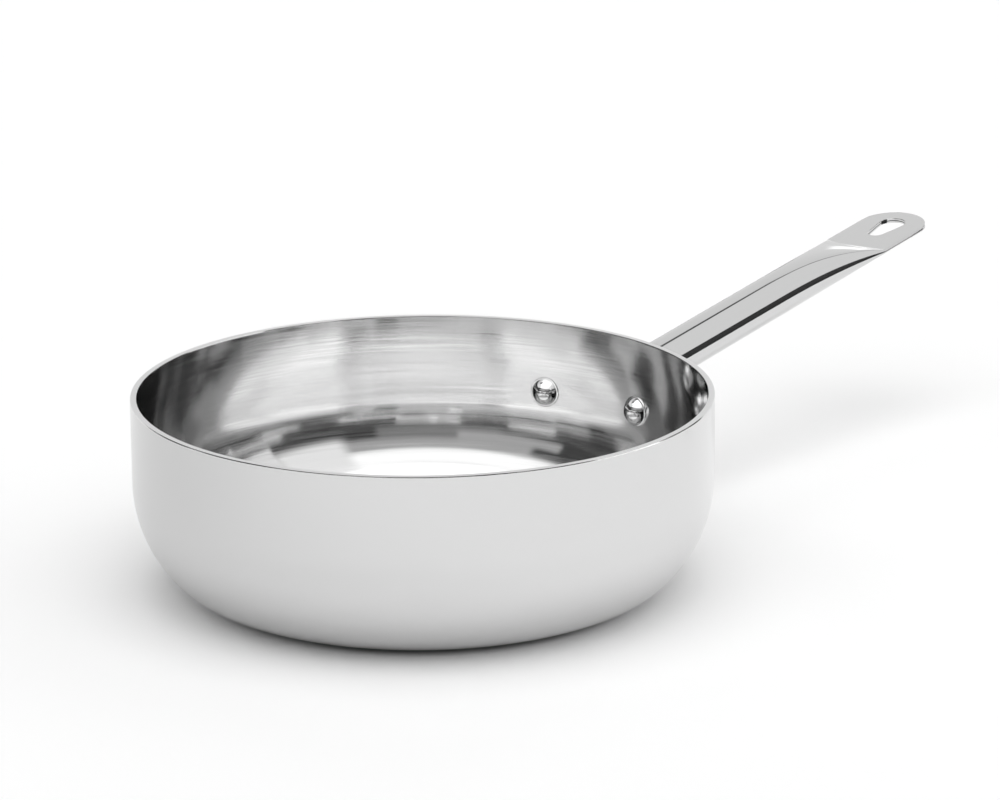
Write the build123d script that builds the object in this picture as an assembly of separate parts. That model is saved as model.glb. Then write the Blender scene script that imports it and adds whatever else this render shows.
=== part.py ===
from build123d import *

import os
from math import acos, asin, cos, degrees, radians, sin, tan

# A clad saucier pan with a riveted tube handle, in millimetres.
# The origin is the centre of the base, where the pan stands. +Z is up and +X points along the handle.
# The bowl is one blank of three bonded plies. The handle is a round tube whose far end is crushed flat
# into a tongue with a hanging slot. Its near end is welded into the drawn socket of a saddle bracket,
# and two rivets through the wall hold that bracket's ears.

# Bowl
rim_radius = 122.5
bowl_height = 84.5
outer_steel = 0.5
aluminium_core = 1.8
inner_steel = 0.5
# The wall is straight down to a corner of three tangent arcs, which runs out into the flat base.
upper_corner_radius = 56.0
upper_corner_sweep = 44.0
middle_corner_radius = 22.0
middle_corner_sweep = 16.0
lower_corner_radius = 44.0
# The cut rim has its two sharp edges taken off.
rim_edge_break = 0.2

# Handle tube, along its own straight axis, which starts at the wall's outside face
handle_height = 52.5
handle_rise = 7.65
tube_radius = 10.0
tube_wall = 1.1
tube_root = 4.0
crush_start = 125.0
crush_end = 207.0
handle_length = 253.2
# The crush starts softly and ends in a crease across the tongue.
crush_power = 3.0
# Pressing also stretches the walls sideways by this ratio.
crush_spread = 1.128
round_shoulder_angle = 70.0
flat_shoulder_angle = 89.0
crush_section_shares = (0.0, 0.12, 0.25, 0.4, 0.55, 0.7, 0.8, 0.88, 0.94, 1.0)
cavity_end_half_height = 0.4

# Tongue, whose end is a full half circle
slot_inner_radius = 4.0
slot_outer_radius = 6.35
slot_inner_place = 224.6
slot_outer_place = 238.2

# Saddle bracket
bracket_thickness = 2.0
saddle_radius = 16.5
ear_radius = 10.0
socket_wall = 1.8
socket_length = 22.0
socket_fillet = 4.0
ear_edge_round = 0.6
socket_clearance = 0.05
socket_radius = tube_radius + socket_clearance + socket_wall
weld_leg = 2.4
weld_bulge = 0.4

# Rivets
rivet_spacing = 50.0
shank_radius = 3.25
shank_clearance = 0.05
head_radius = 6.75
head_height = 5.0
head_skirt = 0.6
tail_radius = 6.0
tail_height = 2.6
tail_top_radius = 3.6
# The heads reach this far under the faces they sit on before they are cut to them, and so does the shank.
rivet_bite = 1.0

# One overrun serves every cut that has to pass a face.
overrun = 10.0

bowl_wall = outer_steel + aluminium_core + inner_steel


def corner_centres():
    """The centres of the corner's upper, middle and lower arcs, each as radius and height."""
    first = radians(upper_corner_sweep)
    second = radians(upper_corner_sweep + middle_corner_sweep)
    middle_step = upper_corner_radius - middle_corner_radius
    lower_step = middle_corner_radius - lower_corner_radius
    lower_height = lower_corner_radius
    middle_height = lower_height + lower_step * sin(second)
    upper_height = middle_height + middle_step * sin(first)
    upper_place = rim_radius - upper_corner_radius
    middle_place = upper_place + middle_step * cos(first)
    lower_place = middle_place + lower_step * cos(second)
    return (upper_place, upper_height), (middle_place, middle_height), (lower_place, lower_height)


def bowl_line(depth):
    """The bowl's half outline from rim to axis, at a depth below the outside face."""
    upper, middle, lower = corner_centres()
    first, second = upper_corner_sweep, middle_corner_sweep
    wall_radius = rim_radius - depth
    wall = Line((wall_radius, bowl_height), (wall_radius, upper[1]))
    upper_arc = CenterArc(upper, upper_corner_radius - depth, 0, -first)
    middle_arc = CenterArc(middle, middle_corner_radius - depth, -first, -second)
    lower_arc = CenterArc(lower, lower_corner_radius - depth, -first - second, first + second - 90)
    base = Line((lower[0], depth), (0, depth))
    return [wall, upper_arc, middle_arc, lower_arc, base]


def bowl_layer(outside_depth, inside_depth):
    """A shell of revolution between two depths below the outside face."""
    rim = Line((rim_radius - outside_depth, bowl_height), (rim_radius - inside_depth, bowl_height))
    middle = Line((0, outside_depth), (0, inside_depth))
    outline = Curve() + bowl_line(outside_depth) + bowl_line(inside_depth) + [rim, middle]
    return revolve(Plane.XZ * make_face(outline.edges()), Axis.Z)


def bowl_filled(depth):
    """Everything inside the bowl's face at a depth, up to the rim."""
    rim = Line((rim_radius - depth, bowl_height), (0, bowl_height))
    middle = Line((0, depth), (0, bowl_height))
    outline = Curve() + bowl_line(depth) + [rim, middle]
    return revolve(Plane.XZ * make_face(outline.edges()), Axis.Z)


def rivet_plane(side, radius):
    """A plane square to a rivet's axis, at a radius from the bowl's own axis, facing outwards."""
    angle = side * asin(rivet_spacing / 2 / (rim_radius - bowl_wall))
    origin = (radius * cos(angle), radius * sin(angle), handle_height)
    return Plane(origin=origin, x_dir=(-sin(angle), cos(angle), 0), z_dir=(cos(angle), sin(angle), 0))


def tapered_link(start, start_radius, end, end_radius):
    """Two round ends on one line, each at its own place and radius, joined by straight tangents."""
    tangent = acos((start_radius - end_radius) / (end - start))
    turn = degrees(tangent)
    across, up = cos(tangent), sin(tangent)
    near = (start + start_radius * across, start_radius * up)
    far = (end + end_radius * across, end_radius * up)
    return make_face(
        [
            Line(near, far),
            CenterArc((end, 0), end_radius, -turn, 2 * turn),
            Line((far[0], -far[1]), (near[0], -near[1])),
            CenterArc((start, 0), start_radius, turn, 360 - 2 * turn),
        ]
    )


def rivet_holes():
    """The two cylinders that clear the rivets' shanks through wall and bracket."""
    start = rim_radius - bowl_wall - overrun
    length = bowl_wall + bracket_thickness + 2 * overrun
    hole = Circle(shank_radius + shank_clearance)
    return [extrude(rivet_plane(side, start) * hole, length) for side in (-1, 1)]


def handle_plane(place):
    """A plane square to the handle, at a distance along its axis from the wall's outside face."""
    rise = radians(handle_rise)
    origin = (rim_radius + place * cos(rise), 0, handle_height + place * sin(rise))
    return Plane(origin=origin, x_dir=(0, 1, 0), z_dir=(cos(rise), 0, sin(rise)))


def handle_top_plane():
    """The plane of the crushed tongue: its own x runs along the handle and its normal points up."""
    rise = radians(handle_rise)
    origin = (rim_radius, 0, handle_height)
    return Plane(origin=origin, x_dir=(cos(rise), 0, sin(rise)), z_dir=(-sin(rise), 0, cos(rise)))


def crush_half_height(share):
    """Half the tube's outside height, part way through the crush: at its end both walls meet."""
    return tube_radius - (tube_radius - tube_wall) * share**crush_power


def crushed_section(share, inset):
    """A four centre oval: the tube's section part way through the crush, inset from the outside."""
    shoulder = radians(round_shoulder_angle + (flat_shoulder_angle - round_shoulder_angle) * share)
    rest = radians(90) - shoulder
    half_height = crush_half_height(share)
    # Half the distance between the two end arcs' centres keeps the wall's length the same all along.
    flat_ratio = rest / radians(90) / cos(shoulder) - tan(rest / 2)
    end_centre = crush_spread * (tube_radius - half_height) / flat_ratio
    end_radius = half_height - end_centre * tan(rest / 2) - inset
    face_radius = end_radius + end_centre / cos(shoulder)
    face_centre = end_centre * tan(shoulder)
    turn = degrees(shoulder)
    arcs = [
        CenterArc((end_centre, 0), end_radius, -turn, 2 * turn),
        CenterArc((0, -face_centre), face_radius, turn, 180 - 2 * turn),
        CenterArc((-end_centre, 0), end_radius, 180 - turn, 2 * turn),
        CenterArc((0, face_centre), face_radius, 180 + turn, 180 - 2 * turn),
    ]
    return make_face(arcs)


def crush_place(share):
    """The distance along the handle at a share of the way through the crush."""
    return crush_start + (crush_end - crush_start) * share


def crushed_sections(shares, inset):
    """The sections of the crush at some shares of its way, each on its plane across the handle."""
    return [handle_plane(crush_place(share)) * crushed_section(share, inset) for share in shares]


def tongue_outline():
    """The tongue's plan: parallel sides and a full round end."""
    half_width = crushed_section(1.0, 0).bounding_box().max.X
    end_centre = handle_length - half_width
    stem = Pos(end_centre - handle_length / 2, 0) * Rectangle(handle_length, 2 * half_width)
    return stem + Pos(end_centre, 0) * Circle(half_width)


def hanging_slot():
    """The slot's plan: two round ends of unequal size joined by straight sides."""
    return tapered_link(slot_inner_place, slot_inner_radius, slot_outer_place, slot_outer_radius)


def rim_circles(ply):
    """The round edges at a ply's cut rim, the smallest first."""
    return ply.edges().filter_by(GeomType.CIRCLE).group_by(Axis.Z)[-1].sort_by(SortBy.RADIUS)


def make_plies():
    """The bowl's three bonded plies, each pierced for the rivets."""
    depths = {
        "outer_steel_ply": (0, outer_steel),
        "aluminium_core_ply": (outer_steel, outer_steel + aluminium_core),
        "inner_steel_ply": (outer_steel + aluminium_core, bowl_wall),
    }
    plies = {name: bowl_layer(*span) for name, span in depths.items()}
    plies["outer_steel_ply"] = chamfer(rim_circles(plies["outer_steel_ply"])[-1], rim_edge_break)
    plies["inner_steel_ply"] = chamfer(rim_circles(plies["inner_steel_ply"])[0], rim_edge_break)
    return {name: ply - rivet_holes() for name, ply in plies.items()}


def make_tube():
    """The handle: a round tube, its crush and the tongue, cut to plan and slotted."""
    bare_tube = extrude(handle_plane(tube_root) * crushed_section(0, 0), crush_start - tube_root)
    crush = loft(crushed_sections(crush_section_shares, 0))
    tongue = extrude(handle_plane(crush_end) * crushed_section(1.0, 0), handle_length - crush_end)
    bore = extrude(handle_plane(tube_root) * crushed_section(0, tube_wall), crush_start - tube_root)
    # The cavity pinches out where the two walls meet.
    room = tube_radius - tube_wall
    last_share = ((room - cavity_end_half_height) / room) ** (1 / crush_power)
    cavity_shares = [share * last_share for share in crush_section_shares]
    cavity = loft(crushed_sections(cavity_shares, tube_wall))
    plan = extrude(handle_top_plane() * tongue_outline(), 2 * tube_radius, both=True)
    slot = extrude(handle_top_plane() * hanging_slot(), 2 * tube_radius, both=True)
    return ((bare_tube + crush + tongue) & plan) - bore - cavity - slot


def saddle_outline():
    """The bracket seen along the handle: a round middle and an ear on each side."""
    ear_place = rivet_plane(1, rim_radius + bracket_thickness).origin.Y
    half = tapered_link(0, saddle_radius, ear_place, ear_radius)
    return Pos(0, handle_height) * (half + mirror(half, Plane.YZ))


def make_bracket():
    """The saddle bracket: two ears that hug the wall and a drawn socket for the tube."""
    blank = extrude(Plane.YZ * saddle_outline(), rim_radius + overrun)
    saddle = blank & bowl_filled(-bracket_thickness)
    # The one round edge out there is where the wall's straight part meets its corner, not a rim of the ears.
    rims = saddle.edges().filter_by(lambda edge: min(v.X for v in edge.vertices()) > rim_radius / 2)
    rims = rims.filter_by(GeomType.CIRCLE, reverse=True)
    saddle = fillet(rims, ear_edge_round)
    socket = extrude(handle_plane(-overrun) * Circle(socket_radius), overrun + socket_length)
    tube_space = Circle(tube_radius + socket_clearance)
    joined = saddle + socket
    seam = new_edges(saddle, socket, combined=joined)
    drawn = fillet(seam, socket_fillet) - bowl_filled(0)
    bore = extrude(handle_plane(-overrun) * tube_space, 2 * overrun + socket_length)
    return drawn - bore - rivet_holes()


def make_weld():
    """The weld ring in the corner between the socket's lip and the tube."""
    root = (tube_radius, socket_length)
    lip = (socket_radius, socket_length)
    toe = (tube_radius, socket_length + weld_leg)
    crown = ((lip[0] + toe[0]) / 2 + weld_bulge, (lip[1] + toe[1]) / 2 + weld_bulge)
    outline = [Line(root, lip), ThreePointArc(lip, crown, toe), Line(toe, root)]
    return handle_plane(0) * revolve(Plane.XZ * make_face(outline), Axis.Z)


def make_rivet(side):
    """One rivet, its axis square to the wall: domed head inside, shank, upset head outside."""
    grip = bowl_wall + bracket_thickness
    # The dome is part of a ball whose centre lies on the rivet's axis.
    dome_height = head_height - head_skirt
    ball_radius = (head_radius**2 + dome_height**2) / (2 * dome_height)
    dome_sweep = degrees(asin(head_radius / ball_radius))
    head_outline = [
        Line((0, rivet_bite), (head_radius, rivet_bite)),
        Line((head_radius, rivet_bite), (head_radius, -head_skirt)),
        CenterArc((0, ball_radius - head_height), ball_radius, -90, dome_sweep),
        Line((0, -head_height), (0, rivet_bite)),
    ]
    tail_outline = [
        Line((0, grip - rivet_bite), (tail_radius, grip - rivet_bite)),
        Line((tail_radius, grip - rivet_bite), (tail_top_radius, grip + tail_height)),
        Line((tail_top_radius, grip + tail_height), (0, grip + tail_height)),
        Line((0, grip + tail_height), (0, grip - rivet_bite)),
    ]
    place = rivet_plane(side, rim_radius - bowl_wall)
    head = place * revolve(Plane.XZ * make_face(head_outline), Axis.Z) & bowl_filled(bowl_wall)
    tail = place * revolve(Plane.XZ * make_face(tail_outline), Axis.Z) - bowl_filled(-bracket_thickness)
    # The shank runs well into both heads.
    section = place * Circle(shank_radius)
    shank = extrude(section, grip + rivet_bite) + extrude(section, -rivet_bite)
    return shank + head + tail


def make_parts():
    """Every piece by its node's name."""
    parts = make_plies()
    parts["handle_bracket"] = make_bracket()
    parts["handle_tube"] = make_tube()
    parts["handle_weld_bead"] = make_weld()
    parts["rivet_left"] = make_rivet(1)
    parts["rivet_right"] = make_rivet(-1)
    return parts


os.makedirs("parts", exist_ok=True)
for name, piece in make_parts().items():
    export_step(piece, f"parts/{name}.step")
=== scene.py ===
"""A clad saucier pan with a riveted tube handle, dressed and lit for a plain studio picture.

Everything is in metres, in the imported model's frame: the origin is the centre of the base, +Z is up
and +X points along the handle. The bowl's plies, the handle and the rivets are smooth meshes at the
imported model's own sizes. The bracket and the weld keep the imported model's meshes and get their finish.
"""

import logging
import math
from dataclasses import dataclass, field
from enum import Enum
from typing import Optional, Sequence, Union

import bmesh
import bpy
import numpy as np
from mathutils import Matrix, Vector


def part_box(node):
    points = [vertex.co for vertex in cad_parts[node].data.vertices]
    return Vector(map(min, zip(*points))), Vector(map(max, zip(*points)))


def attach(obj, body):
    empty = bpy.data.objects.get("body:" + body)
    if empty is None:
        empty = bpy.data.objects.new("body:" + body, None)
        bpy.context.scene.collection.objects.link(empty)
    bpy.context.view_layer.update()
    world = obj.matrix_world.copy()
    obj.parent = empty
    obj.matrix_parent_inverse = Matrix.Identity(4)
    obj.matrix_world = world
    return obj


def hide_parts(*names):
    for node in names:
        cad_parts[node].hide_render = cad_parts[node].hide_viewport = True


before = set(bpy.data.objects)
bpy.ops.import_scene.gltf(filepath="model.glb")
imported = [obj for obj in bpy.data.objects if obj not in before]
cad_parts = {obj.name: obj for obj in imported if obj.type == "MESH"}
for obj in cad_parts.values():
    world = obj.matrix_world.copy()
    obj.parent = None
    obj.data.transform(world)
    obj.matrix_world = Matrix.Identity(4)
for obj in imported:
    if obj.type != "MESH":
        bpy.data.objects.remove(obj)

MM = 0.001
ROOT_BODY = "root"
SHARP_ANGLE = math.radians(32)
CREASE_ANGLE = math.radians(15)
WELD_DISTANCE = 0.002 * MM
QUARTER_TURN = 0.25
ABOVE_EVERY_PIECE = 1.0

# The sRGB curve: a straight toe and a power curve above it.
SRGB_TOE_END = 0.04045
SRGB_TOE_SLOPE = 12.92
SRGB_OFFSET = 0.055
SRGB_POWER = 2.4
LARGEST_BYTE = 255

# Nearly all of a noise texture's values lie between these two.
NOISE_LOW = 0.3
NOISE_HIGH = 0.7

log = logging.getLogger("saucier_pan")

Point = tuple[float, float]
Colour = tuple[float, float, float, float]


class Slot(Enum):
    """The record's material slots."""

    OUTER_STEEL = "polished_outer_steel"
    CORE = "aluminium_core"
    INNER_STEEL = "brushed_inner_steel"
    BRACKET = "satin_bracket_steel"
    HANDLE = "polished_handle_steel"
    WELD = "weld_steel"
    RIVET = "mirror_rivet_steel"


def to_linear(hex_colour: str) -> Colour:
    """Turns an sRGB hex colour into the linear colour that the shaders take.

    Args:
        hex_colour: Six hex digits, with a leading hash.

    Returns:
        Red, green, blue and full alpha.
    """
    parts = [int(hex_colour[i : i + 2], 16) / LARGEST_BYTE for i in (1, 3, 5)]
    linear = [
        c / SRGB_TOE_SLOPE if c <= SRGB_TOE_END else ((c + SRGB_OFFSET) / (1 + SRGB_OFFSET)) ** SRGB_POWER
        for c in parts
    ]
    return (linear[0], linear[1], linear[2], 1.0)


def add_node(
    tree: bpy.types.NodeTree,
    kind: str,
    inputs: Optional[dict[Union[str, int], object]] = None,
    **settings: object,
) -> bpy.types.Node:
    """Adds a node, sets its properties and fills or links its inputs.

    Args:
        tree: The node tree that gets the node.
        kind: The node's type name.
        inputs: A value, or an output socket to link, for each input by name or number.
        settings: Properties of the node itself.

    Returns:
        The new node.
    """
    node = tree.nodes.new(kind)
    for name, value in settings.items():
        setattr(node, name, value)
    for key, value in (inputs or {}).items():
        if isinstance(value, bpy.types.NodeSocket):
            tree.links.new(value, node.inputs[key])
        else:
            node.inputs[key].default_value = value
    return node


def arc_points(centre: Point, radius: float, start: float, end: float, steps: int) -> list[Point]:
    """Points on an arc, both ends included.

    Args:
        centre: The arc's centre.
        radius: The arc's radius.
        start: The first point's angle, in degrees.
        end: The last point's angle, in degrees.
        steps: How many equal steps the arc has.

    Returns:
        The points in order.
    """
    angles = [math.radians(start + (end - start) * i / steps) for i in range(steps + 1)]
    return [(centre[0] + radius * math.cos(a), centre[1] + radius * math.sin(a)) for a in angles]


def line_points(start: Point, end: Point, steps: int) -> list[Point]:
    """Points on a straight line, both ends included, in equal steps."""
    return [
        (start[0] + (end[0] - start[0]) * i / steps, start[1] + (end[1] - start[1]) * i / steps)
        for i in range(steps + 1)
    ]


def without_repeats(points: Sequence[Point]) -> list[Point]:
    """The same points without those that repeat the one before."""
    kept = [points[0]]
    for point in points[1:]:
        if math.dist(point, kept[-1]) > WELD_DISTANCE:
            kept.append(point)
    return kept


def finish_mesh(mesh: bpy.types.Mesh, sharp: float = SHARP_ANGLE) -> None:
    """Welds a mesh's seams and poles, turns its faces outwards and keeps only its real edges sharp."""
    work = bmesh.new()
    work.from_mesh(mesh)
    bmesh.ops.remove_doubles(work, verts=work.verts, dist=WELD_DISTANCE)
    bmesh.ops.recalc_face_normals(work, faces=work.faces)
    for face in work.faces:
        face.smooth = True
    work.to_mesh(mesh)
    work.free()
    mesh.set_sharp_from_angle(angle=sharp)


def settle(piece: bpy.types.Object, slot: Slot, *nodes: str, sharp: float = SHARP_ANGLE) -> None:
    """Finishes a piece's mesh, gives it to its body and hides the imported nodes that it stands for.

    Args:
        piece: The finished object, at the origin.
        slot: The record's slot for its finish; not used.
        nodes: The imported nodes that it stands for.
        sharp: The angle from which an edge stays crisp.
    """
    finish_mesh(piece.data, sharp)
    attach(piece, ROOT_BODY)
    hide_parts(*nodes)
    log.info("%s: %d faces", piece.name, len(piece.data.polygons))


class RevolveTree:
    """A node tree that turns an outline of radius and height round its axis into a closed mesh."""

    NAME = "revolve_outline"
    ROUNDING_ROOM = 0.5

    def __init__(self) -> None:
        """Builds the tree with its named inputs."""
        self.tree = bpy.data.node_groups.new(self.NAME, "GeometryNodeTree")
        sockets = [
            ("Outline", "INPUT", "NodeSocketGeometry"),
            ("Steps Round", "INPUT", "NodeSocketInt"),
            ("Place", "INPUT", "NodeSocketVector"),
            ("Turn", "INPUT", "NodeSocketVector"),
            ("Finish", "INPUT", "NodeSocketMaterial"),
            ("Edge Finish", "INPUT", "NodeSocketMaterial"),
            ("Edge Height", "INPUT", "NodeSocketFloat"),
            ("Mesh", "OUTPUT", "NodeSocketGeometry"),
        ]
        for name, direction, kind in sockets:
            self.tree.interface.new_socket(name=name, in_out=direction, socket_type=kind)
        self._fill()

    def _math(self, operation: str, first: object, second: object = 0.0) -> bpy.types.NodeSocket:
        """The result of one sum on two numbers."""
        return add_node(self.tree, "ShaderNodeMath", {0: first, 1: second}, operation=operation).outputs[0]

    def _fill(self) -> None:
        """Lays a grid of one column for each step round and one row for each point of the outline."""
        tree = self.tree
        given = add_node(tree, "NodeGroupInput").outputs
        size = add_node(tree, "GeometryNodeAttributeDomainSize", {0: given["Outline"]})
        rows = size.outputs["Point Count"]
        steps = given["Steps Round"]
        columns = self._math("ADD", steps, 1.0)
        grid = add_node(tree, "GeometryNodeMeshGrid", {"Vertices X": columns, "Vertices Y": rows})
        index = add_node(tree, "GeometryNodeInputIndex").outputs[0]
        column = self._math("FLOOR", self._math("DIVIDE", self._math("ADD", index, self.ROUNDING_ROOM), rows))
        row = self._math("SUBTRACT", index, self._math("MULTIPLY", column, rows))
        angle = self._math("MULTIPLY", self._math("DIVIDE", column, steps), math.tau)
        position = add_node(tree, "GeometryNodeInputPosition").outputs[0]
        sample = add_node(
            tree,
            "GeometryNodeSampleIndex",
            {"Geometry": given["Outline"], "Value": position, "Index": row},
            data_type="FLOAT_VECTOR",
            domain="POINT",
        )
        point = add_node(tree, "ShaderNodeSeparateXYZ", {0: sample.outputs["Value"]}).outputs
        turned = add_node(
            tree,
            "ShaderNodeCombineXYZ",
            {
                "X": self._math("MULTIPLY", point["X"], self._math("COSINE", angle)),
                "Y": self._math("MULTIPLY", point["X"], self._math("SINE", angle)),
                "Z": point["Z"],
            },
        )
        placed = add_node(
            tree,
            "GeometryNodeSetPosition",
            {"Geometry": grid.outputs["Mesh"], "Position": turned.outputs[0]},
        )
        whole = add_node(
            tree,
            "GeometryNodeMergeByDistance",
            {"Geometry": placed.outputs[0], "Distance": WELD_DISTANCE},
        )
        body = add_node(
            tree,
            "GeometryNodeSetMaterial",
            {"Geometry": whole.outputs[0], "Material": given["Finish"]},
        )
        height = add_node(tree, "ShaderNodeSeparateXYZ", {0: position}).outputs["Z"]
        above = add_node(
            tree,
            "FunctionNodeCompare",
            {0: height, 1: given["Edge Height"]},
            operation="GREATER_THAN",
        )
        edged = add_node(
            tree,
            "GeometryNodeSetMaterial",
            {"Geometry": body.outputs[0], "Selection": above.outputs[0], "Material": given["Edge Finish"]},
        )
        moved = add_node(
            tree,
            "GeometryNodeTransform",
            {"Geometry": edged.outputs[0], "Translation": given["Place"], "Rotation": given["Turn"]},
        )
        real = add_node(tree, "GeometryNodeRealizeInstances", {"Geometry": moved.outputs[0]})
        add_node(tree, "NodeGroupOutput", {0: real.outputs[0]})

    def revolve(
        self,
        name: str,
        outline: Sequence[Point],
        steps: int,
        finish: bpy.types.Material,
        edge: Optional[tuple[bpy.types.Material, float]] = None,
        place: Vector = Vector((0, 0, 0)),
        turn: Vector = Vector((0, 0, 0)),
    ) -> bpy.types.Object:
        """Makes a closed piece of revolution.

        Args:
            name: The new piece's name.
            outline: Radius and height of each point, from the axis and back to it.
            steps: How many steps the turn has.
            finish: The piece's material.
            edge: A second material and the height above which it is used, if there is one.
            place: Where the outline's origin goes.
            turn: The turn of the piece's axis, as Euler angles, made before it is placed.

        Returns:
            The new object, a plain mesh at the origin.
        """
        points = without_repeats(outline)
        mesh = bpy.data.meshes.new(name)
        mesh.from_pydata([(r, 0, h) for r, h in points], [(i, i + 1) for i in range(len(points) - 1)], [])
        piece = bpy.data.objects.new(name, mesh)
        bpy.context.scene.collection.objects.link(piece)
        modifier = piece.modifiers.new(self.NAME, "NODES")
        modifier.node_group = self.tree
        edge_finish, edge_height = edge or (finish, ABOVE_EVERY_PIECE)
        values = {
            "Steps Round": steps,
            "Place": tuple(place),
            "Turn": tuple(turn),
            "Finish": finish,
            "Edge Finish": edge_finish,
            "Edge Height": edge_height,
        }
        for item in self.tree.interface.items_tree:
            if item.in_out == "INPUT" and item.name in values:
                modifier[item.identifier] = values[item.name]
        made = bpy.data.meshes.new_from_object(piece.evaluated_get(bpy.context.evaluated_depsgraph_get()))
        piece.modifiers.remove(modifier)
        piece.data = made
        made.name = name
        return piece


@dataclass(frozen=True)
class MetalFinish:
    """A bare metal surface, seen mostly by what it reflects.

    The grain is the fine lines that a wheel or a belt leaves. They run round an axis, so that they
    spread a reflection across themselves much more than along themselves. grain_across is the gap
    between lines, and grain_along their length at grain_radius from the axis.
    """

    name: str
    colour: str
    roughness: float
    roughness_spread: float = 0.0
    grain_across: float = 0.3 * MM
    grain_along: float = 40 * MM
    grain_radius: float = 120 * MM
    grain_detail: float = 4.0
    grain_harshness: float = 0.6
    grain_bump: float = 0.0
    anisotropy: float = 0.0

    def material(self) -> bpy.types.Material:
        """Builds the finish as a node material on Object coordinates."""
        made = bpy.data.materials.new(self.name)
        made.use_nodes = True
        tree = made.node_tree
        tree.nodes.clear()
        shader = add_node(
            tree,
            "ShaderNodeBsdfPrincipled",
            {
                "Base Color": to_linear(self.colour),
                "Metallic": 1.0,
                "Roughness": self.roughness,
                "Anisotropic": self.anisotropy,
                "Anisotropic Rotation": QUARTER_TURN,
            },
        )
        if self.roughness_spread > 0:
            self._grain(tree, shader)
        if self.anisotropy > 0:
            tangent = add_node(tree, "ShaderNodeTangent", direction_type="RADIAL", axis="Z")
            tree.links.new(tangent.outputs[0], shader.inputs["Tangent"])
        add_node(tree, "ShaderNodeOutputMaterial", {"Surface": shader.outputs[0]})
        return made

    def _grain(self, tree: bpy.types.NodeTree, shader: bpy.types.Node) -> None:
        """Lets the grain's lines vary the roughness and, where they are deep enough, tilt the surface."""
        lines = self._lines(tree)
        rough = add_node(
            tree,
            "ShaderNodeMapRange",
            {
                "Value": lines,
                "From Min": NOISE_LOW,
                "From Max": NOISE_HIGH,
                "To Min": self.roughness - self.roughness_spread,
                "To Max": self.roughness + self.roughness_spread,
            },
        )
        tree.links.new(rough.outputs[0], shader.inputs["Roughness"])
        if self.grain_bump > 0:
            bump = add_node(
                tree,
                "ShaderNodeBump",
                {"Strength": 1.0, "Distance": self.grain_bump, "Height": lines},
            )
            tree.links.new(bump.outputs[0], shader.inputs["Normal"])

    def _lines(self, tree: bpy.types.NodeTree) -> bpy.types.NodeSocket:
        """Noise drawn out into lines that run round the Z axis."""
        place = add_node(tree, "ShaderNodeTexCoord").outputs["Object"]
        split = add_node(tree, "ShaderNodeSeparateXYZ", {0: place}).outputs
        flat = add_node(tree, "ShaderNodeCombineXYZ", {"X": split["X"], "Y": split["Y"]}).outputs[0]
        round_about = add_node(tree, "ShaderNodeVectorMath", {0: flat}, operation="NORMALIZE").outputs[0]
        turns = add_node(
            tree,
            "ShaderNodeVectorMath",
            {0: round_about, "Scale": self.grain_radius / self.grain_along},
            operation="SCALE",
        )
        radius = add_node(tree, "ShaderNodeVectorMath", {0: flat}, operation="LENGTH").outputs["Value"]
        down = add_node(tree, "ShaderNodeMath", {0: radius, 1: split["Z"]}, operation="SUBTRACT").outputs[0]
        fine = add_node(tree, "ShaderNodeMath", {0: down, 1: 1 / self.grain_across}, operation="MULTIPLY")
        across = add_node(tree, "ShaderNodeCombineXYZ", {"Z": fine.outputs[0]}).outputs[0]
        spot = add_node(tree, "ShaderNodeVectorMath", {0: turns.outputs[0], 1: across}, operation="ADD")
        noise = add_node(
            tree,
            "ShaderNodeTexNoise",
            {
                "Vector": spot.outputs[0],
                "Scale": 1.0,
                "Detail": self.grain_detail,
                "Roughness": self.grain_harshness,
            },
        )
        return noise.outputs[0]


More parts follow.
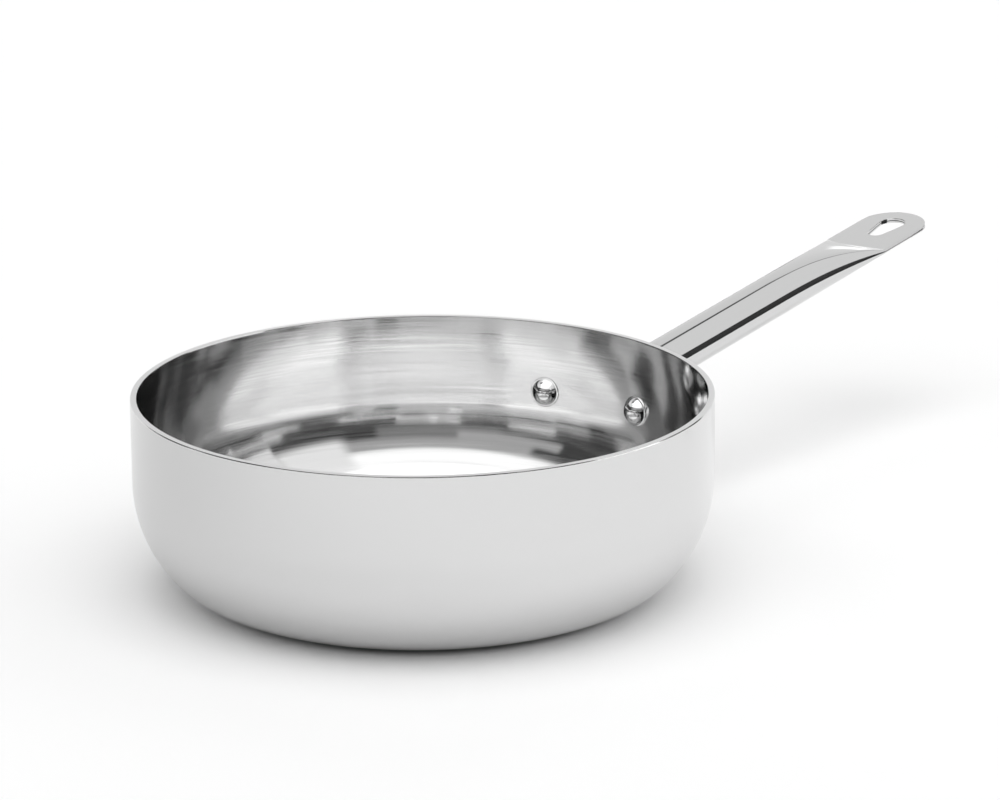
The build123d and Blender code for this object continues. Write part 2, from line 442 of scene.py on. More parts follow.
@dataclass
class CladBowl:
    """The bowl: three bonded plies spun as one blank, with a wall that curves into a flat base."""

    corner_radii: tuple[float, float, float] = (56 * MM, 22 * MM, 44 * MM)
    corner_sweeps: tuple[float, float, float] = (44, 16, 30)
    bevel_rise: float = 0.46 * MM
    bevel_run: float = 0.18 * MM
    bevel_margin: float = 0.03 * MM
    land_depth: float = 0.05 * MM
    land_steps: int = 3
    steps_round: int = 256
    step: float = 1.3 * MM
    least_steps: int = 4

    def __post_init__(self) -> None:
        """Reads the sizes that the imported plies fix."""
        self.rim_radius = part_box("outer_steel_ply")[1].x
        self.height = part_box("outer_steel_ply")[1].z
        self.skin = self.rim_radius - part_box("aluminium_core_ply")[1].x
        self.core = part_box("aluminium_core_ply")[1].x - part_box("inner_steel_ply")[1].x
        self.wall = self.skin * 2 + self.core

    def face(self, depth: float) -> list[Point]:
        """The bowl's half outline from rim to axis.

        Args:
            depth: How far below the outside face the line runs.

        Returns:
            Radius and height of each point.
        """
        first, middle, last = self.corner_radii
        turn_one, turn_two, turn_three = self.corner_sweeps
        both = math.radians(turn_one + turn_two)
        mid_height = last + (middle - last) * math.sin(both)
        top_height = mid_height + (first - middle) * math.sin(math.radians(turn_one))
        top = (self.rim_radius - first, top_height)
        mid = (top[0] + (first - middle) * math.cos(math.radians(turn_one)), mid_height)
        low = (mid[0] + (middle - last) * math.cos(both), last)
        points = line_points(
            (self.rim_radius - depth, self.height),
            (self.rim_radius - depth, top[1]),
            self._steps(self.height - top[1]),
        )
        centres = (top, mid, low)
        start = 0.0
        for centre, radius, sweep in zip(centres, self.corner_radii, (turn_one, turn_two, turn_three)):
            steps = self._steps(radius * math.radians(sweep))
            points += arc_points(centre, radius - depth, start, start - sweep, steps)
            start -= sweep
        return points + line_points((low[0], depth), (0.0, depth), self._steps(low[0]))

    def _steps(self, length: float) -> int:
        """How many steps a stretch of outline gets."""
        return max(self.least_steps, round(length / self.step))

    def ply(self, outside: float, inside: float) -> list[Point]:
        """A ply's closed outline, from the axis up its outside, over the rim and down its inside."""
        outer = self.face(outside)[::-1]
        inner = self.face(inside)
        if outside == 0:
            outer = self._bevel(outer, -1)
        if math.isclose(inside, self.wall):
            inner = self._bevel(inner[::-1], 1)[::-1]
        land = line_points(outer[-1], inner[0], self.land_steps)
        return outer + land + inner

    def _bevel(self, face: Sequence[Point], inwards: int) -> list[Point]:
        """A face of the bowl up to the steep bevel that the belt leaves along the rim's edge.

        Args:
            face: The face's outline, which ends at the rim.
            inwards: Which way the metal lies from that face: -1 towards the axis, 1 away from it.

        Returns:
            The outline up to the land, with points close to each turn so that it stays crisp.
        """
        radius, start = face[-1][0], self.height - self.bevel_rise
        share = self.bevel_margin / self.bevel_rise
        end = (radius + inwards * self.bevel_run, self.height)
        near = (radius + inwards * self.bevel_run * share, start + self.bevel_margin)
        far = (end[0] - inwards * self.bevel_run * share, end[1] - self.bevel_margin)
        below = [(radius, start - 2 * self.bevel_margin), (radius, start - self.bevel_margin)]
        kept = [point for point in face if point[1] < below[0][1]]
        return kept + below + [near, far, end]

    def build(self, revolver: RevolveTree, finishes: "Finishes") -> None:
        """Makes the three plies."""
        land = self.height - self.land_depth
        bond = self.skin + self.core
        plies = [
            ("outer_steel_skin", "outer_steel_ply", 0.0, self.skin, finishes.outer, Slot.OUTER_STEEL),
            ("core_edge_ring", "aluminium_core_ply", self.skin, bond, finishes.core, Slot.CORE),
            ("inner_steel_skin", "inner_steel_ply", bond, self.wall, finishes.inner, Slot.INNER_STEEL),
        ]
        for name, node, outside, inside, finish, slot in plies:
            outline = self.ply(outside, inside)
            piece = revolver.revolve(name, outline, self.steps_round, finish, (finishes.ground, land))
            settle(piece, slot, node)


@dataclass
class Rivet:
    """A rivet of the handle: a domed head inside the bowl, a shank, and an upset head outside."""

    side: int
    spacing: float = 50 * MM
    shank: float = 3.25 * MM
    flange: float = 6.75 * MM
    flange_height: float = 0.6 * MM
    dome: float = 5.95 * MM
    head_height: float = 5.0 * MM
    tail: float = 6.0 * MM
    tail_top: float = 3.6 * MM
    tail_height: float = 2.6 * MM
    bite: float = 0.3 * MM
    edge: float = 0.2 * MM
    grip: float = 4.8 * MM
    tail_turn: float = 20
    dome_steps: int = 40
    edge_steps: int = 5
    tail_steps: int = 4
    steps_round: int = 96

    def outline(self) -> list[Point]:
        """The whole rivet's half outline: the head's top is its lowest point, the tail's its highest."""
        rise = self.head_height - self.flange_height
        ball = (self.dome**2 + rise**2) / (2 * rise)
        sweep = math.degrees(math.asin(self.dome / ball))
        points = arc_points((0, ball - self.head_height), ball, -90, sweep - 90, self.dome_steps)
        rim = self.flange - self.edge
        points += arc_points((rim, self.edge - self.flange_height), self.edge, -90, 0, self.edge_steps)
        points += [(self.flange, self.bite), (self.shank, self.bite), (self.shank, self.grip - self.bite)]
        points += [(self.tail, self.grip - self.bite), (self.tail, self.grip)]
        top = self.grip + self.tail_height
        shoulder = (self.tail_top + self.edge, top - self.edge)
        points += line_points((self.tail, self.grip), shoulder, self.tail_steps)
        points += arc_points((self.tail_top, top - self.edge), self.edge, self.tail_turn, 90, self.tail_steps)
        return points + [(0, top)]

    def build(self, revolver: RevolveTree, finishes: "Finishes", bowl: CladBowl, node: str) -> None:
        """Makes the rivet square to the wall, at its side of the handle."""
        inside = bowl.rim_radius - bowl.wall
        angle = self.side * math.asin(self.spacing / 2 / inside)
        low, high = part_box(node)
        place = Vector((inside * math.cos(angle), inside * math.sin(angle), (low.z + high.z) / 2))
        turn = Vector((0, math.pi / 2, angle))
        piece = revolver.revolve(
            node + "_head",
            self.outline(),
            self.steps_round,
            finishes.rivet,
            place=place,
            turn=turn,
        )
        settle(piece, Slot.RIVET, node)


@dataclass
class TubeHandle:
    """The handle: a round tube, crushed flat over its far part into a tongue with a hanging slot.

    Lengths along it are measured on its own axis from the bowl's outside face.
    """

    start: Vector
    height: float = 52.5 * MM
    rise: float = math.radians(7.65)
    radius: float = 10 * MM
    wall: float = 1.1 * MM
    root: float = 4 * MM
    crush_start: float = 125 * MM
    crush_end: float = 207 * MM
    length: float = 253.2 * MM
    crush_power: float = 3.0
    crush_spread: float = 1.128
    shoulders: tuple[float, float] = (70, 89)
    pinch: float = 0.4 * MM
    slot_radii: tuple[float, float] = (4.0 * MM, 6.35 * MM)
    slot_places: tuple[float, float] = (224.6 * MM, 238.2 * MM)
    edge: float = 0.2 * MM
    edge_rows: tuple[float, ...] = (0.5 * MM, 0.3 * MM, 0.2 * MM)
    slot_margin: float = 1.0 * MM
    seam: float = 0.2 * MM
    seam_depth: float = 1.0 * MM
    face_steps: int = 48
    edge_steps: int = 16
    straight_steps: int = 24
    crush_steps: int = 72
    side_steps: int = 32
    bow_steps: int = 80
    slot_end_steps: int = 240
    slot_side_steps: int = 60
    tongue_shares: tuple[float, ...] = (0.0, 0.3, 0.6, 0.85, 1.0)
    points: list[tuple[float, float, float]] = field(default_factory=list)
    faces: list[tuple[int, ...]] = field(default_factory=list)
    dark: set[int] = field(default_factory=set)

    def _section(self, share: float, inset: float) -> tuple[float, float, float, float, float]:
        """The four arcs of the section, part way through the crush.

        Args:
            share: How far through the crush the section stands, from 0 to 1.
            inset: How far inside the outside face it runs.

        Returns:
            The end arcs' centre and radius, the face arcs' centre and radius, and the shoulder's angle.
        """
        shoulder = math.radians(self.shoulders[0] + (self.shoulders[1] - self.shoulders[0]) * share)
        rest = math.pi / 2 - shoulder
        half = self.radius - (self.radius - self.wall) * share**self.crush_power
        ratio = rest / (math.pi / 2) / math.cos(shoulder) - math.tan(rest / 2)
        centre = self.crush_spread * (self.radius - half) / ratio
        end = half - centre * math.tan(rest / 2) - inset
        return centre, end, centre * math.tan(shoulder), end + centre / math.cos(shoulder), shoulder

    def _ring(self, place: float, share: float, inset: float) -> np.ndarray:
        """The points round one section, from the lower right shoulder, as place, width and height."""
        centre, end, face_centre, face, shoulder = self._section(share, inset)
        turn = math.degrees(shoulder)
        loop = arc_points((centre, 0), end, -turn, turn, self.edge_steps)[:-1]
        loop += arc_points((0, -face_centre), face, turn, 180 - turn, self.face_steps)[:-1]
        loop += arc_points((-centre, 0), end, 180 - turn, 180 + turn, self.edge_steps)[:-1]
        loop += arc_points((0, face_centre), face, 180 + turn, 360 - turn, self.face_steps)[:-1]
        return np.array([(place, w, h) for w, h in loop])

    def _share(self, place: float) -> float:
        """How far through the crush a place along the handle stands."""
        return min(1.0, max(0.0, (place - self.crush_start) / (self.crush_end - self.crush_start)))

    def _add(self, rows: Sequence[np.ndarray], closed: bool, dark: bool = False) -> None:
        """Adds a sheet of faces between rows of points, each row as long as the next.

        Args:
            rows: The rows of points, as place, width and height.
            closed: Whether each row is a closed loop.
            dark: Whether the faces lie inside the tube or in its crushed seam, where they get painted shade.
        """
        first = len(self.points)
        count = len(rows[0])
        for row in rows:
            self.points += [tuple(p) for p in row]
        for r in range(len(rows) - 1):
            for i in range(count if closed else count - 1):
                a = first + r * count + i
                b = first + r * count + (i + 1) % count
                if dark:
                    self.dark.add(len(self.faces))
                self.faces.append((a, b, b + count, a + count))

    def _cap(self, row: np.ndarray) -> None:
        """Closes a loop of points with one face."""
        first = len(self.points)
        self.points += [tuple(p) for p in row]
        self.faces.append(tuple(range(first, first + len(row))))

    def _tube(self) -> None:
        """The round tube and its crush, outside and inside, as far as the crease."""
        straight = list(np.linspace(self.root, self.crush_start, self.straight_steps))
        crush = list(np.linspace(self.crush_start, self.crush_end, self.crush_steps + 1))[1:]
        outside = [self._ring(s, self._share(s), 0.0) for s in straight + crush]
        room = self.radius - self.wall
        last = ((room - self.pinch) / room) ** (1 / self.crush_power)
        deepest = self.crush_start + (self.crush_end - self.crush_start) * last
        hollow = straight + list(np.linspace(self.crush_start, deepest, self.straight_steps))[1:]
        inside = [self._ring(s, self._share(s), self.wall) for s in hollow]
        self._add(outside, closed=True)
        self._add([inside[0], outside[0]], closed=True)
        # The tube's inside takes the painted shade.
        self._add(inside, closed=True, dark=True)
        self._cap(inside[-1])

    def _top(self, width: float) -> float:
        """The height of the tongue's face above its middle plane, at a distance from its centre line."""
        _, _, face_centre, face, _ = self._section(1.0, 0.0)
        return math.sqrt(face**2 - width**2) - face_centre

    def _plan(self) -> list[tuple[Point, Point, float]]:
        """The tongue's outline from the crease along one side, round the end and back along the other.

        Returns:
            For each point its place and width, the direction outwards, and how far the edge there is
            a cut one, from 0 for the tube's own fold to 1.
        """
        centre, end, _, _, _ = self._section(1.0, 0.0)
        half = centre + end
        bow_centre = self.length - half
        places = np.linspace(self.crush_end, bow_centre, self.side_steps)
        side = [((s, half), (0.0, 1.0), 0.0) for s in places]
        path = list(side)
        for s, w in arc_points((bow_centre, 0), half, 90, -90, self.bow_steps)[1:-1]:
            away = ((s - bow_centre) / half, w / half)
            path.append(((s, w), away, min(1.0, (half - abs(w)) / end)))
        return path + [((s, -w), (ds, -dw), cut) for (s, w), (ds, dw), cut in side[::-1]]

    def _edge_profile(self, top: float, cut: float) -> list[Point]:
        """The edge's section from the upper face to the lower one, as outward offset and height.

        Args:
            top: The upper face's height there.
            cut: How far the edge is a cut one, from 0 to 1.

        Returns:
            The offset from the outline and the height of each point.
        """
        _, end, _, _, shoulder = self._section(1.0, 0.0)
        turn = math.degrees(shoulder)
        fold = [(x - end, h) for x, h in arc_points((0, 0), end, turn, -turn, self.edge_steps)]
        corner = self.edge * (1 - math.sqrt(0.5))
        half = [(fold[0][0], top)] + [(-row, top) for row in self.edge_rows]
        half += [(-corner, top - corner), (0.0, top - self.edge), (0.0, 2 * self.seam), (0.0, self.seam)]
        square = half + [(-self.seam_depth, 0.0)] + [(x, -h) for x, h in half[::-1]]
        return [(a + (b - a) * cut, c + (d - c) * cut) for (a, c), (b, d) in zip(fold, square)]

    def _slot_radius(self, angles: np.ndarray) -> np.ndarray:
        """The hanging slot's outline as its distance from its middle in each direction."""
        near, far = self.slot_places
        small, large = self.slot_radii
        tangent = math.degrees(math.acos((small - large) / (far - near)))
        loop = arc_points((far, 0), large, -tangent, tangent, self.slot_end_steps)
        round_near = arc_points((near, 0), small, tangent, 360 - tangent, self.slot_end_steps)
        loop += line_points(loop[-1], round_near[0], self.slot_side_steps)[1:-1] + round_near
        loop += line_points(loop[-1], loop[0], self.slot_side_steps)[1:-1]
        middle = sum(self.slot_places) / 2
        turned = np.array([math.atan2(w, s - middle) % math.tau for s, w in loop])
        reach = np.array([math.hypot(s - middle, w) for s, w in loop])
        order = np.argsort(turned)
        return np.interp(angles % math.tau, turned[order], reach[order], period=math.tau)

    def _tongue(self) -> None:
        """The crushed tongue: its edge, its two faces and the slot through them."""
        plan = self._plan()
        columns = []
        for (s, w), (ds, dw), cut in plan:
            inset = self._section(1.0, 0.0)[1]
            profile = self._edge_profile(self._top(abs(w) - inset * abs(dw)), cut)
            columns.append(np.array([(s + ds * o, w + dw * o, h) for o, h in profile]))
        self._add(columns, closed=False)
        crease = self._ring(self.crush_end, 1.0, 0.0)
        over = crease[self.edge_steps : self.edge_steps + self.face_steps + 1]
        outer = np.array([column[0] for column in columns] + list(over[::-1][1:-1]))
        middle = sum(self.slot_places) / 2
        angles = np.arctan2(outer[:, 1], outer[:, 0] - middle)
        reach = self._slot_radius(angles)
        for top in (True, False):
            loops = []
            for share in self.tongue_shares:
                step = reach + self.slot_margin
                near = np.stack([middle + step * np.cos(angles), step * np.sin(angles)], 1)
                plan_points = outer[:, :2] * (1 - share) + near * share
                heights = np.abs(outer[:, 2])
                if share:
                    heights = np.array([self._top(w) for w in plan_points[:, 1]])
                loops.append(np.column_stack([plan_points, heights if top else -heights]))
            self._add(loops, closed=True)
        self._slot_wall(middle, angles, reach)

    def _slot_wall(self, middle: float, angles: np.ndarray, reach: np.ndarray) -> None:
        """The slot's cut edge, with the seam where the tube's two walls are pressed together."""
        corner = self.edge * (1 - math.sqrt(0.5))
        half = [
            (self.slot_margin, 0.0),
            (self.slot_margin / 2, 0.0),
            (self.edge, 0.0),
            (corner, -corner),
            (0.0, -self.edge),
        ]
        loops = []
        for offset, drop in half:
            step = reach + offset
            spot = np.stack([middle + step * np.cos(angles), step * np.sin(angles)], 1)
            tops = np.array([self._top(w) for w in spot[:, 1]]) + drop
            loops.append(np.column_stack([spot, tops]))
        for offset, height in ((0.0, self.seam), (self.seam_depth, 0.0)):
            step = reach + offset
            spot = np.stack([middle + step * np.cos(angles), step * np.sin(angles)], 1)
            loops.append(np.column_stack([spot, np.full(len(step), height)]))
        under = [loop * np.array([1, 1, -1]) for loop in loops[:-1]]
        self._add(loops[:-1], closed=True)
        # The seam's crevice in the slot takes the painted shade.
        self._add([loops[-2], loops[-1], under[-1]], closed=True, dark=True)
        self._add(under, closed=True)

    def build(self, finishes: "Finishes") -> None:
        """Makes the handle's mesh and sets it in its place."""
        self._tube()
        self._tongue()
        along = Vector((math.cos(self.rise), 0, math.sin(self.rise)))
        across = Vector((0, 1, 0))
        up = Vector((-math.sin(self.rise), 0, math.cos(self.rise)))
        origin = self.start + Vector((0, 0, self.height))
        placed = [tuple(origin + along * s + across * w + up * h) for s, w, h in self.points]
        mesh = bpy.data.meshes.new("tube_handle")
        mesh.from_pydata(placed, [], self.faces)
        mesh.materials.append(finishes.handle)
        # The second finish is painted shade, for the tube's inside and its seam's crevice.
        mesh.materials.append(finishes.painted_shade_bore)
        for index in self.dark:
            mesh.polygons[index].material_index = 1
        piece = bpy.data.objects.new("tube_handle", mesh)
        bpy.context.scene.collection.objects.link(piece)
        settle(piece, Slot.HANDLE, "handle_tube", sharp=CREASE_ANGLE)


class Finishes:
    """Every finish of the pan, made once."""

    def __init__(self) -> None:
        """Builds the materials."""
        # Stainless steel, buffed round the bowl: an even pale grey with a soft, broad reflection.
        self.outer = MetalFinish("buffed_stainless_outside", "#DCDCDC", 0.14, 0.02, anisotropy=0.5).material()
        # Stainless steel, brushed round the inside: fine lines that draw reflections out down the wall.
        # The lines of a real brush are 0.1 mm apart, too fine to show here, so they are drawn at 0.62 mm.
        self.inner = MetalFinish(
            "brushed_stainless_inside",
            "#E2E2E2",
            roughness=0.1,
            roughness_spread=0.06,
            grain_across=0.62 * MM,
            grain_along=70 * MM,
            grain_bump=0.008 * MM,
            anisotropy=0.8,
        ).material()
        # The cut rim, ground flat on a belt: bright and matt.
        self.ground = MetalFinish("belt_ground_rim", "#E2E2E2", 0.34, 0.04).material()
        # The aluminium core, seen only at the rim: as pale as the steel on each side of it.
        self.core = MetalFinish("rolled_aluminium_core", "#E4E4E4", 0.4).material()
        # Stainless tube, mirror polished: hard edged strips of light and dark.
        self.handle = MetalFinish("polished_stainless_tube", "#D6D6D6", 0.06, 0.015).material()
        # The tube's inside and the seam where it is crushed shut: unpolished, and painted dark grey as the
        # shade that falls in that hollow and crevice.
        self.painted_shade_bore = MetalFinish("painted_shade_tube_bore", "#4A4A4A", 0.5).material()
        # Stainless rivets, tumbled to a mirror: small, hard pictures of the whole room.
        self.rivet = MetalFinish("tumbled_stainless_rivet", "#E4E4E4", 0.02).material()
        # Pressed stainless plate, left satin: a soft, greyer sheen.
        self.bracket = MetalFinish("pressed_satin_stainless", "#CDCDCD", 0.3, 0.03).material()
        # The weld between socket and tube, brushed clean: duller than the steel that it joins.
        self.weld = MetalFinish("brushed_weld_bead", "#BEBEBE", 0.36, 0.05).material()

    def dress_nodes(self) -> None:
        """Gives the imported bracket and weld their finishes."""
        for name, material in (("handle_bracket", self.bracket), ("handle_weld_bead", self.weld)):
            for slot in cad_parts[name].material_slots:
                slot.material = material


@dataclass(frozen=True)
class SoftCard:
    """A soft edged card or cloth of the studio, far from the pan, as the directions that it fills.

    Headings are in degrees to the right of the camera's own, and heights are degrees above the floor.
    """

    name: str
    heading: float
    half_width: float
    low: float
    high: float
    level: float
    fade: float = 5.0


CARDS = (
    # The unlit room, which every other card is laid over.
    SoftCard("dark_studio", 0, 200, -10, 100, 0.06),
    # The large soft box overhead: whitens the rivets' tops and lights the floor.
    SoftCard("overhead_box", 0, 200, 68, 100, 2.15, 8),
    # The dim cloth over the backdrop: keeps the middle of the far wall grey.
    SoftCard("far_high", 0, 60, 50, 70, 0.46, 3),
    # The upper silk over the camera: whitens the base inside and the far wall's sides.
    SoftCard("front_slope_high", 180, 95, 50, 70, 1.78, 6),
    # The lower silk over the camera, a little dimmer: the far wall's foot.
    SoftCard("front_slope_low", 180, 72, 35, 50, 1.34, 6),
    # The grey gap under the silks: the upper half of the dark band at the inside corner.
    SoftCard("front_mid", 180, 50, 25, 35, 0.45),
    # The darker cloth under that gap: the lower half of the same band.
    SoftCard("front_low", -174, 27, 14, 25, 0.24),
    # A paler stretch of that cloth: the same band's right part.
    SoftCard("front_low_left", -142, 24, 18.5, 26, 0.47, 3),
    # The backdrop: the even grey of the handle's upper strip and the tongue.
    SoftCard("far_backdrop", 3, 25.5, 3, 47.3, 0.84, 1.5),
    # A bright strip in front of the backdrop's right part.
    SoftCard("backdrop_hot_strip", 26, 6, 12, 27, 2.1, 2),
    # A small lamp at the table's far end: the white crescent at the tongue's crease.
    SoftCard("far_horizon_glow", 7.5, 2.5, 6, 11.5, 1.6, 2),
    # The table's far end, so that no dark gap shows at the crease.
    SoftCard("far_table_end", 5, 6, -3, 4, 0.8, 2),
    # The wall to the right: the even grey of the handle's middle strip.
    SoftCard("right_wall", 70.75, 39.25, 6, 54, 0.89, 2),
    # A dark stand in front of that wall: the dark right part of the inside.
    SoftCard("right_stand", 50, 19, 5, 18, 0.15, 3),
    # The wall's return: the light patch under the rivets.
    SoftCard("right_turn", 126, 17, 22, 52, 1, 8),
    # A long lamp to the left: the light left of the middle under the far rim.
    SoftCard("left_bar", -38, 20, 17, 26, 1.37, 4),
    # A silk high on the left: the light left part of the far wall.
    SoftCard("left_slope", -75, 32, 30, 50, 0.9, 6),
    # A low strip lamp at the front left: thin light lines on the rivets.
    SoftCard("front_strip", -150, 30, 4, 11, 1.1, 3),
    # The bright table edge in front, which lights the floor from low down.
    SoftCard("front_floor_glow", 180, 100, -10, 4, 2.6, 4),
    # A low lamp to the right, which lights that side of the floor.
    SoftCard("low_right", 115, 38, -10, 5, 4.4, 4),
)


@dataclass
class Studio:
    """The pale floor, the soft light and the camera at the photograph's angle."""

    camera_place: Vector = field(default_factory=lambda: Vector((-1407.98, -1142.63, 608.11)) * MM)
    heading: float = math.radians(51.964)
    pitch: float = 0.2833
    roll: float = -0.0059
    focal_pixels: float = 4499.3
    image_width_pixels: float = 1000
    sensor_width: float = 36
    view_end: float = 100
    floor_half: float = 12.0
    # A painted shadow: the floor's colour falls to this level under the base and comes back to white just
    # past the base's edge.
    painted_shadow_start: float = 85 * MM
    painted_shadow_end: float = 96 * MM
    painted_shadow_level: float = 0.1
    flag_line: float = -0.20
    flag_outline: tuple[Point, ...] = (
        (0.30, 0),
        (0.95, 0),
        (0.95, 0.24),
        (0.60, 0.24),
        (0.57, 0.11),
        (0.30, 0.11),
    )
    flag_level: float = 0.045
    gel_centre: Vector = field(default_factory=lambda: Vector((-0.16, 0.27, 0.001)))
    gel_reach: float = 0.55
    gel_darkness: float = 0.19

    def camera(self) -> None:
        """Makes the camera and hands it to the scene."""
        data = bpy.data.cameras.new("camera")
        data.sensor_width = self.sensor_width
        data.lens = self.focal_pixels * self.sensor_width / self.image_width_pixels
        data.clip_end = self.view_end
        camera = bpy.data.objects.new("camera", data)
        bpy.context.scene.collection.objects.link(camera)
        flat = Vector((math.sin(self.heading), math.cos(self.heading), 0))
        ahead = flat * math.cos(self.pitch) - Vector((0, 0, math.sin(self.pitch)))
        right = Vector((flat.y, -flat.x, 0))
        up = right.cross(ahead)
        leaning = right * math.cos(self.roll) + up * math.sin(self.roll)
        upright = up * math.cos(self.roll) - right * math.sin(self.roll)
        turned = Matrix((leaning, upright, -ahead)).transposed().to_4x4()
        camera.matrix_world = Matrix.Translation(self.camera_place) @ turned
        bpy.context.scene.camera = camera

    def _sheet(
        self,
        name: str,
        places: Sequence[tuple[float, float, float]],
        surface: bpy.types.Material,
    ) -> bpy.types.Object:
        """Makes a flat sheet of the studio from its corners."""
        mesh = bpy.data.meshes.new(name)
        mesh.from_pydata(places, [], [tuple(range(len(places)))])
        mesh.materials.append(surface)
        sheet = bpy.data.objects.new(name, mesh)
        bpy.context.scene.collection.objects.link(sheet)
        return sheet

    def _square(self, centre: Vector, reach: float) -> list[tuple[float, float, float]]:
        """The corners of a level square round a place."""
        x, y, z = centre
        sides = ((-1, -1), (1, -1), (1, 1), (-1, 1))
        return [(x + reach * i, y + reach * j, z) for i, j in sides]

    def _hide(self, sheet: bpy.types.Object) -> None:
        """Leaves a sheet to be seen in the metal's reflections alone."""
        sheet.visible_camera = False
        sheet.visible_diffuse = False
        sheet.visible_shadow = False

    def floor(self) -> None:
        """Makes the white paper floor, which keeps the pan's shadow, and paints a shadow on it where the base
        meets it.
        """
        made = bpy.data.materials.new("white_paper_floor_painted_shadow")
        made.use_nodes = True
        tree = made.node_tree
        tree.nodes.clear()
        place = add_node(tree, "ShaderNodeTexCoord").outputs["Object"]
        away = add_node(tree, "ShaderNodeVectorMath", {0: place}, operation="LENGTH").outputs["Value"]
        # Painted shadow: the paper's colour is darkened under the base, out to just past its edge.
        paper_with_painted_shadow = add_node(
            tree,
            "ShaderNodeMapRange",
            {
                "Value": away,
                "From Min": self.painted_shadow_start,
                "From Max": self.painted_shadow_end,
                "To Min": self.painted_shadow_level,
                "To Max": 1.0,
            },
            interpolation_type="SMOOTHSTEP",
        ).outputs[0]
        shader = add_node(tree, "ShaderNodeBsdfDiffuse", {"Color": paper_with_painted_shadow})
        add_node(tree, "ShaderNodeOutputMaterial", {"Surface": shader.outputs[0]})
        self._sheet("floor", self._square(Vector((0, 0, 0)), self.floor_half), made)

    def flag(self) -> None:
        """Makes the low black flag beside the handle, which only reflections show."""
        made = bpy.data.materials.new("black_flag_cloth")
        made.use_nodes = True
        tree = made.node_tree
        tree.nodes.clear()
        shader = add_node(tree, "ShaderNodeEmission", {"Color": (1, 1, 1, 1), "Strength": self.flag_level})
        add_node(tree, "ShaderNodeOutputMaterial", {"Surface": shader.outputs[0]})
        places = [(along, self.flag_line, up) for along, up in self.flag_outline]
        self._hide(self._sheet("black_flag", places, made))

    def grey_gel(self) -> None:
        """Makes the soft edged gel on the floor to the left, which shades that side of the bowl."""
        made = bpy.data.materials.new("smoke_grey_gel")
        made.use_nodes = True
        tree = made.node_tree
        tree.nodes.clear()
        place = add_node(tree, "ShaderNodeTexCoord").outputs["Object"]
        away = add_node(tree, "ShaderNodeVectorMath", {0: place, 1: self.gel_centre}, operation="DISTANCE")
        clear = add_node(
            tree,
            "ShaderNodeMapRange",
            {
                "Value": away.outputs["Value"],
                "From Max": self.gel_reach,
                "To Min": 1 - self.gel_darkness,
                "To Max": 1.0,
            },
            interpolation_type="SMOOTHSTEP",
        ).outputs[0]
        shader = add_node(tree, "ShaderNodeBsdfTransparent", {"Color": clear})
        add_node(tree, "ShaderNodeOutputMaterial", {"Surface": shader.outputs[0]})
        places = self._square(self.gel_centre, self.gel_reach)
        self._hide(self._sheet("smoke_grey_gel", places, made))

    def _fade(
        self,
        tree: bpy.types.NodeTree,
        angle: bpy.types.NodeSocket,
        edge: float,
        fade: float,
        inside_above: bool,
    ) -> bpy.types.NodeSocket:
        """A soft step at an edge of a card.

        Args:
            tree: The world's tree.
            angle: The angle, in radians.
            edge: Where the edge is, in degrees.
            fade: How wide the soft edge is, in degrees.
            inside_above: Whether the card lies above the edge.

        Returns:
            1 on the card and 0 off it.
        """
        before, after = math.radians(edge - fade / 2), math.radians(edge + fade / 2)
        first, second = (before, after) if inside_above else (after, before)
        node = add_node(
            tree,
            "ShaderNodeMapRange",
            {"Value": angle, "From Min": first, "From Max": second},
            interpolation_type="SMOOTHSTEP",
        )
        return node.outputs[0]

    def world(self) -> None:
        """Makes the room from its cards, each laid over those before it, and white to the camera."""
        world = bpy.data.worlds.new("studio_room")
        world.use_nodes = True
        bpy.context.scene.world = world
        tree = world.node_tree
        tree.nodes.clear()
        way = add_node(tree, "ShaderNodeTexCoord").outputs["Generated"]
        lift = add_node(tree, "ShaderNodeSeparateXYZ", {0: way}).outputs["Z"]
        height = add_node(tree, "ShaderNodeMath", {0: lift}, operation="ARCSINE").outputs[0]
        flat = add_node(tree, "ShaderNodeVectorMath", {0: way, 1: (1, 1, 0)}, operation="MULTIPLY").outputs[0]
        level_way = add_node(tree, "ShaderNodeVectorMath", {0: flat}, operation="NORMALIZE").outputs[0]
        total: Union[float, bpy.types.NodeSocket] = CARDS[0].level
        for card in CARDS[1:]:
            angle = self.heading + math.radians(card.heading)
            facing = (math.sin(angle), math.cos(angle), 0)
            near = add_node(tree, "ShaderNodeVectorMath", {0: level_way, 1: facing}, operation="DOT_PRODUCT")
            off = add_node(tree, "ShaderNodeMath", {0: near.outputs["Value"]}, operation="ARCCOSINE")
            sides = self._fade(tree, off.outputs[0], card.half_width, card.fade, False)
            bottom = self._fade(tree, height, card.low, card.fade, True)
            top = self._fade(tree, height, card.high, card.fade, False)
            upright = add_node(tree, "ShaderNodeMath", {0: bottom, 1: top}, operation="MULTIPLY").outputs[0]
            cover = add_node(tree, "ShaderNodeMath", {0: sides, 1: upright}, operation="MULTIPLY").outputs[0]
            layer = {"Value": cover, "To Min": total, "To Max": card.level}
            total = add_node(tree, "ShaderNodeMapRange", layer, label=card.name).outputs[0]
        room = add_node(tree, "ShaderNodeBackground", {"Color": (1, 1, 1, 1), "Strength": total})
        plain = add_node(tree, "ShaderNodeBackground", {"Color": (1, 1, 1, 1), "Strength": 1.0})
        path = add_node(tree, "ShaderNodeLightPath").outputs
        mixed = add_node(
            tree,
            "ShaderNodeMixShader",
            {0: path["Is Camera Ray"], 1: room.outputs[0], 2: plain.outputs[0]},
        )
        add_node(tree, "ShaderNodeOutputWorld", {"Surface": mixed.outputs[0]})

    def build(self) -> None:
        """Sets up the whole studio."""
        bpy.context.scene.view_settings.view_transform = "Standard"
        self.camera()
        self.floor()
        self.flag()
        self.grey_gel()
        self.world()


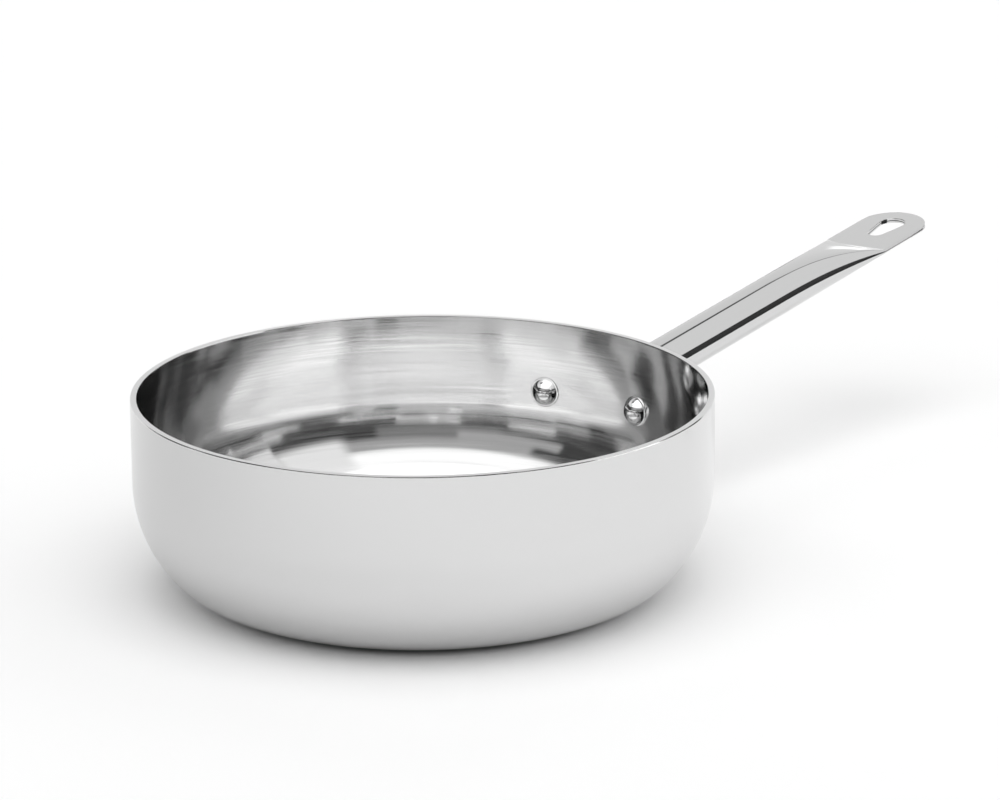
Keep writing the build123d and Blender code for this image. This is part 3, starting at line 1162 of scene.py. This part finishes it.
def main() -> None:
    """Builds the pan and its studio in order."""
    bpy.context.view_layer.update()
    finishes = Finishes()
    revolver = RevolveTree()
    bowl = CladBowl()
    bowl.build(revolver, finishes)
    for side, node in ((1, "rivet_left"), (-1, "rivet_right")):
        Rivet(side).build(revolver, finishes, bowl, node)
    TubeHandle(Vector((bowl.rim_radius, 0, 0))).build(finishes)
    finishes.dress_nodes()
    Studio().build()


if __name__ == "__main__":
    logging.basicConfig(level=logging.INFO)
    main()
